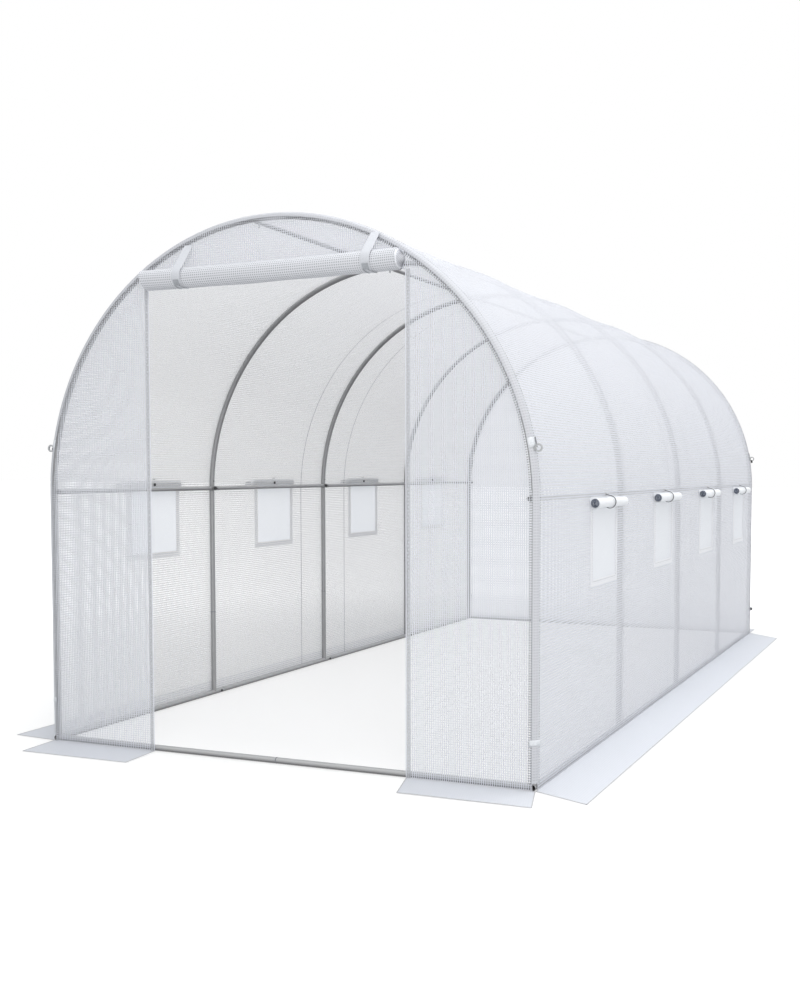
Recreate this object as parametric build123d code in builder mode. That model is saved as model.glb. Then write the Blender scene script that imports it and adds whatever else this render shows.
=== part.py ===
from build123d import *
import os
from math import acos, asin, atan2, cos, degrees, hypot, radians, sin

# Polytunnel greenhouse, millimetres. +Z is up, the doorway faces -Y, the ground is z = 0.

# Driving dimensions: the steel frame
hoop_radius = 986        # bend radius of the hoops, at the tube's axis
spring_height = 955      # height where the straight sides turn into the arch
bay_length = 993         # from one hoop to the next, axis to axis
tube_diameter = 22       # hoops, base rails and sills
tube_wall = 1.2
leg_joint_height = 390   # where the bow plugs onto the leg
swage_length = 4         # taper from the full tube down to the spigot
spigot_length = 45
base_joint_setback = 70  # base rail joint, behind the hoop it follows
stub_height = 60         # upright stub on the base rail, inside the leg

# Driving dimensions: side rails and ridge, tubes with flattened ends
rail_diameter = 16
rail_rise = 10           # side rails above the springing
ridge_offset = -60       # ridge beside the crown joint, round the arch
rail_tab_width = 21
rail_tab_thickness = 2.8
rail_tab_reach = 10      # tab past the hoop's axis
rail_flatten_length = 34

# Driving dimensions: the cover
cover_thickness = 2
clearance = 0.3          # between a sheet and the tube or roll it lies on
cover_shift = 21         # pulled round the arch to the right: left windows up, right ones down
wall_margin = 30         # side wall sheet above the windows
skirt_width = 205        # ground flaps at the sides
end_skirt_width = 180    # ground flaps at the ends
left_flap_skew = 15      # front flaps: free edge to the right of the sewn edge
right_flap_skew = 55
left_flap_lead = -20     # side flaps: free edge ahead of the sewn edge, at the front corner
right_flap_lead = 85
flap_trail = 180         # and at the back corner

# Driving dimensions: doorway, zips and the rolled-up door
door_width = 1044
gable_drop = 224         # from the cover's crown down to the doorway
zip_width = 15
zip_thickness = 1.5
zip_inset = 4            # from the doorway's edge
door_roll_radius = 38    # to the middle of the outer turn
door_roll_pitch = 6
door_roll_overlap = 1    # rolled cloth, wider than the doorway
door_roll_shift = 8      # roll's middle, right of the doorway's
door_roll_rise = 17      # roll's axis above the doorway
door_flap_height = 34    # rolled cloth sewn on above the axis
door_strap_spacing = 756
door_strap_shift = 35
door_strap_width = 36
door_strap_thickness = 1.6
door_strap_rise = 112    # sewn end above the roll's axis

# Driving dimensions: windows in the side walls
window_width = 345       # over the border
window_height = 339
window_top_rise = 26     # above the springing
window_border = 27
border_thickness = 1.5
net_thickness = 1
window_pitch_cut = 65    # windows stand this much closer than the hoops
window_shift_left = 6    # row of windows behind the tunnel's middle
window_shift_right = 136
window_roll_radius = 20
window_roll_pitch = 6
window_roll_length = 385
window_roll_drop = 23    # roll's axis below the border's top
window_flap_height = 20
window_tie_width = 7
window_tie_thickness = 2.4
window_tie_rise = 30

# Driving dimensions: guy eyes and cover buttons on the end hoops
eye_rise = 172           # above the springing
eye_radius = 14
eye_hole_radius = 8.5
eye_thickness = 5
shank_radius = 3
washer_radius = 9
washer_thickness = 2
button_height = 161      # above the ground
button_radius = 9
button_depth = 9
button_round = 3

# Counts
hoop_names = ("front_hoop", "second_hoop", "middle_hoop", "fourth_hoop", "back_hoop")
door_roll_half_turns = 9
window_roll_half_turns = 5
strap_wrap_degrees = 190
roof_strips = ("right_haunch_cover", "right_shoulder_cover", "right_crown_cover",
               "left_crown_cover", "left_shoulder_cover", "left_haunch_cover")

# Worked out from the driving dimensions
tube_radius = tube_diameter / 2
bore_radius = tube_radius - tube_wall
spigot_radius = bore_radius - clearance
rail_radius = rail_diameter / 2
hoop_count = len(hoop_names)
front_y = -bay_length * (hoop_count - 1) / 2
hoop_ys = [front_y + bay_length * i for i in range(hoop_count)]
back_y = hoop_ys[-1]
cover_inner = hoop_radius + tube_radius + clearance
cover_outer = cover_inner + cover_thickness
border_outer = cover_outer + border_thickness
cover_half = back_y + tube_radius + clearance
cover_face = cover_half + cover_thickness
wall_rise = window_top_rise + cover_shift + wall_margin
wall_angle = degrees(asin(wall_rise / cover_inner))
strip_angle = (180 - 2 * wall_angle) / len(roof_strips)
wedge_reach = 2 * cover_outer
door_half = door_width / 2
door_height = spring_height + cover_outer - gable_drop
door_roll_height = door_height + door_roll_rise
door_roll_length = door_width + door_roll_overlap
eye_angle = degrees(asin(eye_rise / hoop_radius))
window_tops = {side: spring_height + window_top_rise - side * cover_shift for side in (1, -1)}
net_width = window_width - 2 * window_border
net_height = window_height - 2 * window_border
window_count = hoop_count - 1
window_pitch = bay_length - window_pitch_cut
window_row = [window_pitch * (i - (window_count - 1) / 2) for i in range(window_count)]
window_ys = {
    1: [window_shift_right + y for y in window_row],
    -1: [window_shift_left + y for y in window_row],
}


def arch_region(radius, foot=0, mode=Mode.ADD):
    """Everything under an arch of this radius, from the foot height up, in the current sketch."""
    with BuildLine() as outline:
        Polyline((-radius, spring_height), (-radius, foot), (radius, foot), (radius, spring_height))
        CenterArc((0, spring_height), radius, 0, 180)
    make_face(outline.edges(), mode=mode)


def keep_wedge(start, end):
    """Trim the current sketch to the sector between two angles about the arch's centre."""
    with BuildLine() as wedge:
        Polyline(
            (0, spring_height),
            (wedge_reach * cos(radians(start)), spring_height + wedge_reach * sin(radians(start))),
            (wedge_reach * cos(radians(end)), spring_height + wedge_reach * sin(radians(end))),
            close=True,
        )
    make_face(wedge.edges(), mode=Mode.INTERSECT)


def keep_band(low, high):
    """Trim the current sketch to the right-hand side between two heights."""
    with Locations((0, low)):
        Rectangle(wedge_reach, high - low, align=(Align.MIN, Align.MIN), mode=Mode.INTERSECT)


def swaged_tube(plane, length):
    """Tube along the plane's y axis, its far end swaged down to plug into the next tube."""
    with BuildSketch(plane) as profile:
        with BuildLine():
            Polyline(
                (bore_radius, 0),
                (tube_radius, 0),
                (tube_radius, length),
                (spigot_radius, length + swage_length),
                (spigot_radius, length + swage_length + spigot_length),
                (spigot_radius - tube_wall, length + swage_length + spigot_length),
                (spigot_radius - tube_wall, length + swage_length),
                (bore_radius, length),
                close=True,
            )
        make_face()
    revolve(profile.sketch, axis=Axis(plane.origin, plane.y_dir))


def plain_tube(plane, length):
    """Open tube along the plane's y axis."""
    with BuildSketch(plane) as profile:
        with Locations((bore_radius, 0)):
            Rectangle(tube_wall, length, align=(Align.MIN, Align.MIN))
    revolve(profile.sketch, axis=Axis(plane.origin, plane.y_dir))


def rolled_sheet(flap, radius, pitch, half_turns, thickness):
    """A sheet that hangs down from (0, flap) and rolls up outwards, in the current sketch."""
    with BuildLine() as path:
        Line((thickness / 2, flap), (thickness / 2, 0))
        edge = thickness / 2
        for turn in range(half_turns):
            r = radius - turn * pitch / 2
            if turn % 2 == 0:
                CenterArc((edge + r, 0), r, 180, 180)
                edge += 2 * r
            else:
                CenterArc((edge - r, 0), r, 0, 180)
                edge -= 2 * r
    trace(path.edges(), line_width=thickness)


def strap_round(radius, middle, rise, thickness):
    """A strap sewn on at (0, rise) that passes over and under a roll, in the current sketch."""
    start = (thickness / 2, rise)
    far = hypot(start[0] - middle, rise)
    lean = degrees(atan2(rise, start[0] - middle)) - degrees(acos(radius / far))
    touch = (middle + radius * cos(radians(lean)), radius * sin(radians(lean)))
    with BuildLine() as path:
        Line(start, touch)
        CenterArc((middle, 0), radius, lean, -strap_wrap_degrees)
    trace(path.edges(), line_width=thickness)


def radial_plane(side, angle, radius, y):
    """Plane on the arch at this angle, its z axis pointing outwards."""
    out = (side * cos(radians(angle)), 0, sin(radians(angle)))
    return Plane(
        origin=(radius * out[0], y, spring_height + radius * out[2]), x_dir=(0, 1, 0), z_dir=out
    )


def window_plane(side, y):
    """Upright plane along the tunnel, at the middle of a window, facing right."""
    middle = window_tops[side] - window_height / 2
    return Plane(origin=(0, y, middle), x_dir=(0, 1, 0), z_dir=(1, 0, 0))


def window_roll_plane(side, y):
    """Section plane across a window's roll, its x axis pointing out of the right-hand wall."""
    rise = window_tops[side] - window_roll_drop - spring_height
    out = radial_plane(1, degrees(asin(max(rise, 0) / border_outer)), border_outer, y)
    origin = out.origin + Vector(0, 0, min(rise, 0))
    return Plane(origin=origin, x_dir=out.z_dir, z_dir=(0, -1, 0))


# Hoop: two legs and two bows, the bows joined at the crown
crown_gap = degrees(swage_length / 2 / hoop_radius)
spigot_angle = degrees(spigot_length / hoop_radius)
bow_foot = leg_joint_height + swage_length
with BuildPart() as hoop:
    for side in (1, -1):
        foot = Plane(origin=(side * hoop_radius, 0, tube_radius), x_dir=(1, 0, 0), z_dir=(0, -1, 0))
        swaged_tube(foot, leg_joint_height - tube_radius)
        with Locations((side * hoop_radius, 0, tube_radius)):
            Cylinder(tube_radius + clearance, 2 * tube_diameter, rotation=(90, 0, 0), mode=Mode.SUBTRACT)
    for side in (1, -1):
        with BuildLine(Plane.XZ) as bow:
            Line((side * hoop_radius, bow_foot), (side * hoop_radius, spring_height))
            CenterArc((0, spring_height), hoop_radius, 90 - side * 90, side * (90 - crown_gap))
        with BuildSketch(Plane(origin=(side * hoop_radius, 0, bow_foot))):
            Circle(tube_radius)
            Circle(bore_radius, mode=Mode.SUBTRACT)
        sweep(path=bow.wires()[0])
    with BuildLine(Plane.XZ) as spigot:
        CenterArc((0, spring_height), hoop_radius, 90 + spigot_angle, -2 * spigot_angle)
    with BuildSketch(Plane(origin=spigot.line @ 0, z_dir=spigot.line % 0)):
        Circle(spigot_radius)
        Circle(spigot_radius - tube_wall, mode=Mode.SUBTRACT)
    sweep(path=spigot.wires()[0])
    with BuildLine(Plane.XZ) as collar:
        CenterArc((0, spring_height), hoop_radius, 90 + spigot_angle, -spigot_angle / 2)
    with BuildSketch(Plane(origin=collar.line @ 0, z_dir=collar.line % 0)):
        Circle(bore_radius)
        Circle(spigot_radius, mode=Mode.SUBTRACT)
    sweep(path=collar.wires()[0])


def make_hoop(label, y):
    part = hoop.part.moved(Location((0, y, 0)))
    part.label = label
    return part


# Base rail: tubes on the ground, with an upright stub for each leg
base_starts = [front_y - tube_radius] + [y + base_joint_setback for y in hoop_ys[1:-1]]
base_ends = base_starts[1:] + [back_y + tube_radius]
with BuildPart() as base_rail:
    for start, end in zip(base_starts[:-1], base_ends[:-1]):
        swaged_tube(Plane(origin=(0, start, tube_radius)), end - start - swage_length)
    plain_tube(Plane(origin=(0, base_starts[-1], tube_radius)), base_ends[-1] - base_starts[-1])
    with Locations(*[(0, y, tube_radius) for y in hoop_ys]):
        Cylinder(spigot_radius, stub_height, align=(Align.CENTER, Align.CENTER, Align.MIN))
        Cylinder(
            spigot_radius - tube_wall, stub_height,
            align=(Align.CENTER, Align.CENTER, Align.MIN), mode=Mode.SUBTRACT,
        )
        Cylinder(bore_radius, tube_diameter, rotation=(90, 0, 0), mode=Mode.SUBTRACT)


def make_base_rail(label, side):
    part = base_rail.part.moved(Location((side * hoop_radius, 0, 0)))
    part.label = label
    return part


# Sills: the bars on the ground across each end, in two halves
def make_sill(label, y):
    reach = hoop_radius - tube_radius - clearance
    with BuildPart() as sill:
        swaged_tube(
            Plane(origin=(-reach, y, tube_radius), x_dir=(0, 0, 1), z_dir=(0, 1, 0)),
            reach - swage_length,
        )
        plain_tube(Plane(origin=(0, y, tube_radius), x_dir=(0, 0, 1), z_dir=(0, 1, 0)), reach)
    sill.part.label = label
    return sill.part


# Tie bar: one tube a bay with flattened ends, at the crown, about the arch's centre
tab_step = (rail_tab_thickness + clearance) / 2
tie_radius = hoop_radius - tube_radius - clearance - rail_tab_thickness / 2 - tab_step
round_start = rail_tab_reach + rail_flatten_length


def tie_section(y, shift):
    return Plane(origin=(0, y, tie_radius + shift), x_dir=(0, 0, 1), z_dir=(0, 1, 0))


with BuildPart() as tie_bar:
    for y, inward, shift in ((0, 1, -tab_step), (bay_length, -1, tab_step)):
        with BuildSketch(tie_section(y - inward * rail_tab_reach, shift)):
            Rectangle(rail_tab_thickness, rail_tab_width)
        extrude(amount=inward * 2 * rail_tab_reach)
        with BuildSketch(tie_section(y + inward * rail_tab_reach, shift)):
            Ellipse(rail_tab_thickness / 2, rail_tab_width / 2)
        with BuildSketch(tie_section(y + inward * round_start, 0)):
            Circle(rail_radius)
        loft()
    with BuildSketch(tie_section(round_start, 0)):
        Circle(rail_radius)
    extrude(amount=bay_length - 2 * round_start)


# Side rails and ridge: the tie bars of four bays, turned round the arch
def make_tie_rail(label, turn):
    with BuildPart() as rail:
        with Locations(*[Location((0, y, spring_height), (0, turn, 0)) for y in hoop_ys[:-1]]):
            add(tie_bar.part)
    rail.part.label = label
    return rail.part


# Side walls: the upright part of the cover, with the window openings cut through
def make_wall(label, side):
    with BuildPart() as wall:
        with BuildSketch(Plane.XZ):
            arch_region(cover_outer, cover_thickness)
            arch_region(cover_inner, cover_thickness, mode=Mode.SUBTRACT)
            top_x = wedge_reach * cos(radians(wall_angle))
            top_z = spring_height + wedge_reach * sin(radians(wall_angle))
            with BuildLine():
                Polyline((0, 0), (wedge_reach, 0), (top_x, top_z), (0, spring_height), close=True)
            make_face(mode=Mode.INTERSECT)
        extrude(amount=cover_half, both=True)
        for y in window_ys[side]:
            with BuildSketch(window_plane(side, y)):
                Rectangle(net_width, net_height)
            extrude(amount=wedge_reach, mode=Mode.SUBTRACT)
        for y in (front_y, back_y):
            with BuildSketch(Plane(origin=(0, y, button_height), x_dir=(0, 1, 0), z_dir=(1, 0, 0))):
                Circle(shank_radius + clearance)
            extrude(amount=wedge_reach, mode=Mode.SUBTRACT)
        if side < 0:
            mirror(about=Plane.YZ, mode=Mode.REPLACE)
    wall.part.label = label
    return wall.part


# Roof: the curved part of the cover, as strips that run the tunnel's length
def make_roof_strip(label, index):
    start = wall_angle + index * strip_angle
    with BuildPart() as strip:
        with BuildSketch(Plane.XZ):
            with Locations((0, spring_height)):
                Circle(cover_outer)
                Circle(cover_inner, mode=Mode.SUBTRACT)
            keep_wedge(start, start + strip_angle)
        extrude(amount=cover_half, both=True)
        for side in (1, -1):
            polar = eye_angle if side > 0 else 180 - eye_angle
            if start < polar < start + strip_angle:
                for y in (front_y, back_y):
                    with BuildSketch(radial_plane(side, eye_angle, hoop_radius, y)):
                        Circle(shank_radius + clearance)
                    extrude(amount=2 * tube_diameter, mode=Mode.SUBTRACT)
    strip.part.label = label
    return strip.part


# End walls: flat sheets over the end hoops, split round the doorway at the front
def make_end_panel(label, plane, low, left, right):
    with BuildPart() as panel:
        with BuildSketch(plane):
            arch_region(cover_outer, cover_thickness)
            with Locations((left, low)):
                Rectangle(
                    right - left, spring_height + wedge_reach,
                    align=(Align.MIN, Align.MIN), mode=Mode.INTERSECT,
                )
        extrude(amount=cover_thickness)
    panel.part.label = label
    return panel.part


front_plane = Plane(origin=(0, -cover_half, 0), x_dir=(1, 0, 0), z_dir=(0, -1, 0))
back_plane = Plane(origin=(0, cover_half, 0), x_dir=(-1, 0, 0), z_dir=(0, 1, 0))


# Zips: the tapes beside the doorway
with BuildPart() as door_zips:
    with BuildSketch(front_plane.offset(cover_thickness)):
        for side in (1, -1):
            with Locations((side * (door_half + zip_inset + zip_width / 2), cover_thickness)):
                Rectangle(
                    zip_width, door_height - cover_thickness, align=(Align.CENTER, Align.MIN)
                )
    extrude(amount=zip_thickness)
door_zips.part.label = "door_zips"


# Rolled-up door and the straps that hold it
roll_end = door_roll_shift + door_roll_length / 2
roll_plane = Plane(
    origin=(roll_end, -cover_face - zip_thickness - clearance, door_roll_height),
    x_dir=(0, -1, 0), z_dir=(-1, 0, 0),
)
with BuildPart() as door_roll:
    with BuildSketch(roll_plane):
        rolled_sheet(
            door_flap_height, door_roll_radius, door_roll_pitch, door_roll_half_turns, cover_thickness
        )
    extrude(amount=door_roll_length)
door_roll.part.label = "door_roll"

with BuildPart() as door_straps:
    for side in (1, -1):
        strap_edge = door_strap_shift + side * door_strap_spacing / 2 + door_strap_width / 2
        with BuildSketch(
            Plane(origin=(strap_edge, -cover_face, door_roll_height), x_dir=(0, -1, 0), z_dir=(-1, 0, 0))
        ):
            strap_round(
                door_roll_radius + cover_thickness / 2 + clearance + door_strap_thickness / 2,
                zip_thickness + clearance + cover_thickness / 2 + door_roll_radius,
                door_strap_rise,
                door_strap_thickness,
            )
        extrude(amount=door_strap_width)
door_straps.part.label = "door_straps"


# Windows: border, net, rolled-up flap and its tie
def make_borders(label, side):
    with BuildPart() as borders:
        for y in window_ys[side]:
            with BuildSketch(Plane.XZ.offset(-y - window_width / 2)):
                arch_region(border_outer)
                arch_region(cover_outer, mode=Mode.SUBTRACT)
                keep_band(window_tops[side] - window_height, window_tops[side])
            extrude(amount=window_width)
            with BuildSketch(window_plane(side, y)):
                Rectangle(net_width, net_height)
            extrude(amount=wedge_reach, mode=Mode.SUBTRACT)
        if side < 0:
            mirror(about=Plane.YZ, mode=Mode.REPLACE)
    borders.part.label = label
    return borders.part


def make_nets(label, side):
    net_inner = cover_inner + (cover_thickness - net_thickness) / 2
    net_top = window_tops[side] - window_border
    with BuildPart() as nets:
        for y in window_ys[side]:
            with BuildSketch(Plane.XZ.offset(-y - net_width / 2)):
                arch_region(net_inner + net_thickness)
                arch_region(net_inner, mode=Mode.SUBTRACT)
                keep_band(net_top - net_height, net_top)
            extrude(amount=net_width)
        if side < 0:
            mirror(about=Plane.YZ, mode=Mode.REPLACE)
    nets.part.label = label
    return nets.part


def make_window_rolls(label, side):
    with BuildPart() as rolls:
        for y in window_ys[side]:
            with BuildSketch(window_roll_plane(side, y + window_roll_length / 2)):
                rolled_sheet(
                    window_flap_height, window_roll_radius, window_roll_pitch,
                    window_roll_half_turns, cover_thickness,
                )
            extrude(amount=window_roll_length)
        if side < 0:
            mirror(about=Plane.YZ, mode=Mode.REPLACE)
    rolls.part.label = label
    return rolls.part


def make_window_ties(label, side):
    with BuildPart() as ties:
        for y in window_ys[side]:
            with BuildSketch(window_roll_plane(side, y + window_tie_width / 2)):
                strap_round(
                    window_roll_radius + cover_thickness / 2 + clearance + window_tie_thickness / 2,
                    cover_thickness / 2 + window_roll_radius,
                    window_tie_rise,
                    window_tie_thickness,
                )
            extrude(amount=window_tie_width)
        if side < 0:
            mirror(about=Plane.YZ, mode=Mode.REPLACE)
    ties.part.label = label
    return ties.part


# Ground flaps: the cover's skirt, spread on the ground
def make_flap(label, sewn_start, sewn_end, free_end, free_start):
    with BuildPart() as flap:
        with BuildSketch(Plane.XY):
            with BuildLine():
                Polyline(sewn_start, sewn_end, free_end, free_start, close=True)
            make_face()
        extrude(amount=cover_thickness)
    flap.part.label = label
    return flap.part


# Guy eyes: ring, washer and shank on each end hoop
def make_guy_eyes(label, y):
    with BuildPart() as eyes:
        for side in (1, -1):
            with BuildSketch(radial_plane(side, eye_angle, cover_inner, y)):
                Circle(shank_radius)
            extrude(amount=cover_thickness + clearance + washer_thickness)
            with BuildSketch(radial_plane(side, eye_angle, cover_outer + clearance, y)):
                Circle(washer_radius)
            extrude(amount=washer_thickness)
            ring_radius = cover_outer + clearance + washer_thickness + eye_hole_radius + shank_radius
            out = radial_plane(side, eye_angle, ring_radius, y)
            with BuildSketch(Plane(origin=out.origin, x_dir=out.z_dir, z_dir=(0, 1, 0))):
                Circle(eye_radius)
                with Locations((-(ring_radius - cover_outer - clearance), 0)):
                    Rectangle(
                        washer_thickness, 2 * eye_radius, align=(Align.MAX, Align.CENTER),
                        mode=Mode.SUBTRACT,
                    )
            extrude(amount=eye_thickness / 2, both=True)
            with BuildSketch(Plane(origin=out.origin, x_dir=out.z_dir, z_dir=(0, 1, 0))):
                Circle(eye_hole_radius)
            extrude(amount=eye_thickness, both=True, mode=Mode.SUBTRACT)
    eyes.part.label = label
    return eyes.part


# Cover buttons: round heads low on each end hoop
def make_buttons(label, y):
    with BuildPart() as buttons:
        for side in (1, -1):
            with BuildSketch(
                Plane(origin=(side * cover_inner, y, button_height), x_dir=(0, 1, 0), z_dir=(side, 0, 0))
            ):
                Circle(shank_radius)
            extrude(amount=cover_thickness + clearance)
            with BuildSketch(
                Plane(
                    origin=(side * (cover_outer + clearance), y, button_height),
                    x_dir=(0, 1, 0), z_dir=(side, 0, 0),
                )
            ):
                Circle(button_radius)
            extrude(amount=button_depth)
        rims = buttons.edges().filter_by(GeomType.CIRCLE).group_by(Axis.X)
        fillet(rims[0] + rims[-1], button_round)
    buttons.part.label = label
    return buttons.part


parts = [make_hoop(name, y) for name, y in zip(hoop_names, hoop_ys)]
parts += [make_base_rail("left_base_rail", -1), make_base_rail("right_base_rail", 1)]
parts += [make_sill("front_sill", front_y), make_sill("back_sill", back_y)]
rail_turn = 90 - degrees(asin(rail_rise / hoop_radius))
parts += [make_tie_rail("left_side_rail", -rail_turn), make_tie_rail("right_side_rail", rail_turn)]
parts += [make_tie_rail("ridge_bar", degrees(ridge_offset / hoop_radius))]
parts += [make_wall("left_wall_cover", -1), make_wall("right_wall_cover", 1)]
parts += [make_roof_strip(name, i) for i, name in enumerate(roof_strips)]
parts += [
    make_end_panel("front_left_panel", front_plane, 0, -wedge_reach, -door_half),
    make_end_panel("front_right_panel", front_plane, 0, door_half, wedge_reach),
    make_end_panel("front_gable", front_plane, door_height, -door_half, door_half),
    make_end_panel("back_panel", back_plane, 0, -wedge_reach, wedge_reach),
]
parts += [door_zips.part, door_roll.part, door_straps.part]
for word, side in (("left", -1), ("right", 1)):
    parts += [
        make_borders(word + "_window_borders", side),
        make_nets(word + "_window_nets", side),
        make_window_rolls(word + "_window_rolls", side),
        make_window_ties(word + "_window_ties", side),
    ]
flap_side = cover_inner + skirt_width
flap_end = cover_half + end_skirt_width
for word, side, lead in (("left", -1, left_flap_lead), ("right", 1, right_flap_lead)):
    parts.append(
        make_flap(
            word + "_ground_flap",
            (side * cover_inner, -cover_half), (side * cover_inner, cover_half),
            (side * flap_side, cover_half - flap_trail), (side * flap_side, -cover_half - lead),
        )
    )
for word, left, right, skew in (
    ("left", -cover_inner, -door_half, left_flap_skew), ("right", door_half, cover_inner, right_flap_skew),
):
    parts.append(
        make_flap(
            "front_" + word + "_ground_flap",
            (left, -cover_half), (right, -cover_half), (right + skew, -flap_end), (left + skew, -flap_end),
        )
    )
parts.append(
    make_flap(
        "back_ground_flap",
        (-cover_outer, cover_half), (cover_outer, cover_half),
        (cover_outer, flap_end), (-cover_outer, flap_end),
    )
)
parts += [make_guy_eyes("front_guy_eyes", front_y), make_guy_eyes("back_guy_eyes", back_y)]
parts += [make_buttons("front_cover_buttons", front_y), make_buttons("back_cover_buttons", back_y)]

os.makedirs("parts", exist_ok=True)
for part in parts:
    export_step(part, "parts/" + part.label + ".step")
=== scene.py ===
from math import acos, atan2, cos, hypot, pi, sin, tau

import bmesh
import bpy
from mathutils import Matrix, Vector, noise


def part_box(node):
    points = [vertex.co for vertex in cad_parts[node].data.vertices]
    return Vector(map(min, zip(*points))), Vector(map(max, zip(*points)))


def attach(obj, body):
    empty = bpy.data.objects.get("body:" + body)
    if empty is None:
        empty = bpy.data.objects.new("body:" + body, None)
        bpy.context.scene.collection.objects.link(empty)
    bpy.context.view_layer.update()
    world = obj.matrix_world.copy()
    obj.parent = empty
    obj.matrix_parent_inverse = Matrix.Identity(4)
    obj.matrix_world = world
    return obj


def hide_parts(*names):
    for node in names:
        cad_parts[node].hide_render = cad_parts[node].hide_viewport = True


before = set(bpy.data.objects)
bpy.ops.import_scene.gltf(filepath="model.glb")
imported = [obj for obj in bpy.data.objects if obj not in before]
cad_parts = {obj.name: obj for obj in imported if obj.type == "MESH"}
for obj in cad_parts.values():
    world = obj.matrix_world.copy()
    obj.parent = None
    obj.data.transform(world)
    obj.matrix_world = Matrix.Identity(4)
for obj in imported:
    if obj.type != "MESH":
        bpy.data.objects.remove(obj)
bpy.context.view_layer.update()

# Camera, fitted to the photograph (metres, radians, pixels of an 800 x 1000 frame)
IMAGE_W, IMAGE_H = 800, 1000
CAMERA_PLACE = Vector((2.3120, -5.5429, 1.0642))
CAMERA_YAW = -0.3513
CAMERA_PITCH = -0.0551
CAMERA_ROLL = 0.0050
FOCAL_PIXELS = 1163.7
AXIS_PIXEL = (541.3, 532.6)
SENSOR = 0.036

# Cover film
SCRIM_PITCHES = (0.0096, 0.0085)   # between threads round the arch and along the tunnel
END_PITCHES = (0.0080, 0.0080)     # across and up the end walls
THREAD_SHARES = (0.50, 0.32)   # warp and weft on the tunnel, of the pitch
END_SHARES = (0.48, 0.24)      # on the end walls
FILM_BODY = 0.0008        # from the outer threads to the inner ones
FILM_ROUGH = 0.55
FILM_SAG = 0.008          # between hoops, on the arch
FILM_RIPPLE = 0.0012
WALL_RIPPLE = 0.0016
WALL_FADE = 0.1           # ripples die out this near to an end wall's edge
SHEET_STEP = 0.05
WALL_STEPS = 33           # up an end wall
HEM_FACE = 0.016          # hem band on the end wall
HEM_SIDE = 0.022          # hem band on the tunnel
LIFT = 0.0008             # between stacked layers of film
NOTCH = 0.024             # gap in the hem at the feet
STITCH = (0.0055, 0.0013, 0.0006)
STITCH_PITCH = 0.0105
HEM_STITCH = (0.0036, 0.0042, 0.0006)
HEM_STITCH_PITCH = 0.0085
HEM_FACE_ROWS = (0.003, 0.009)   # stitch rows beside the hem, on the end wall
HEM_SIDE_ROW = 0.004             # and on the tunnel
SEAM_SHIFTS = (-0.21, 0.24)
SEAM_WIDTH = 0.005
EDGE_WIDTH = 0.004        # grey strip on the ground flaps' free edges: painted shade of the edge
FLAP_LIFT = 0.0012
FLAP_WAVE = 0.007         # at a flap's free edge
FLAP_STEP = 0.04

# Rolled door and windows
DOOR_DROP = 1.68
ROLL_STEPS = 22           # segments a turn
ROLL_CORE_SHARE = 0.16    # core's radius, of the roll's
DOOR_ROLL_SAG = 0.004
DOOR_ROLL_TILT = 0.022    # right end higher than the left
DOOR_END_SLIP = 0.022     # how far the turns slip sideways at the ends
DOOR_CAPS = ((-1, 0.036), (1, 0.014))   # each end of the roll, and how far its cap is set back
STRAP_THICK = 0.0022
BUCKLE_TURNS = (-0.35, -0.62, -0.89)    # round the roll, from its front downwards
CORD_TURNS = (-0.85, -1.1, -1.35, -1.6)
CORD_HALF = 0.0016
WINDOW_ROLL_RADIUS = 0.020
WINDOW_DROP = 0.33
WINDOW_END_SLIP = 0.003
BORDER_INSET = 0.008      # stitches from the window's opening
TIE_WIDTH = 0.005
TIE_THICK = 0.0024
TIE_SKEW = 0.12           # sideways, of the height
TIE_RISE = 0.029          # elastic's sewn end above the roll's axis
BUTTON_RISE = 0.006       # button on the inside, above the roll's axis
TAB_HALF = 0.006
ZIP_PITCH = 0.012
ZIP_TOOTH = (0.005, 0.0022, 0.006)
ZIP_STAGGER = 0.0016

# Small fittings
TAB = 0.003               # flattened end of a tie bar
BOLT_HEAD = 0.0055
BOLT_SETBACK = 0.045      # base rail bolts behind the hoops
RIVET_RISE = 0.033        # rivet on the hoop above the side rail
LEG_JOINT = 0.390         # where the hoops' legs plug together
JOINT_GAP = 0.0045
CLIP_TALL = 0.034
CLIP_SIDE = 0.034
CLIP_RISE = 0.018         # guy clip above its eye
CLIP_BAR = 0.010
CLIP_LIFT = 2.5 * LIFT    # clips over the hem
EAR = 0.008
EAR_STEP = 0.003
WING = (0.012, 0.0035, 0.009)
WING_PLACE = (0.0085, 0, 0.004)
WING_LEAN = -0.35

# Turned fittings, as (radius, height) pairs
HUB = [(0, 0), (0.0075, 0), (0.008, 0.0025), (0.0062, 0.010), (0.005, 0.012), (0, 0.0125)]
RIVET = [(0, 0), (0.0035, 0), (0.0032, 0.0012), (0.0015, 0.002), (0, 0.002)]
TIE_BUTTON = [(0, 0), (0.006, 0), (0.0068, 0.0015), (0.006, 0.0035), (0.003, 0.0042), (0, 0.0042)]
CLIP_KNOB = [(0, 0), (0.009, 0), (0.0098, 0.002), (0.009, 0.008), (0.006, 0.010), (0, 0.0105)]

# Light and floor
LAMPS = (   # name, place, size, power and tint
    ("key", (3.6, -7.3, 4.6), 4.0, 262, (1.0, 0.99, 0.975)),
    ("top", (1.5, -0.4, 7.6), 6.0, 370, (0.98, 0.99, 1.0)),
    ("fill", (6.0, 3.0, 2.4), 4.0, 54, (1.0, 1.0, 1.0)),
)
LAMP_AIM = Vector((0, 0, 0.8))
WORLD_TINT = (0.96, 0.98, 1.0, 1)
WORLD_STRENGTH = 0.61
FLOOR_HALF = 60
FLOOR_DROP = 0.0008
FLOOR_PLAIN = (0.72, 0.72, 0.72, 1)
FLOOR_SHADE = (0.45, 0.45, 0.45, 1)
FLOOR_GLOW = (0.52, 1.0)          # near the object and away from it
FLOOR_GLOW_REACH = (1.6, 4.6)

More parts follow.
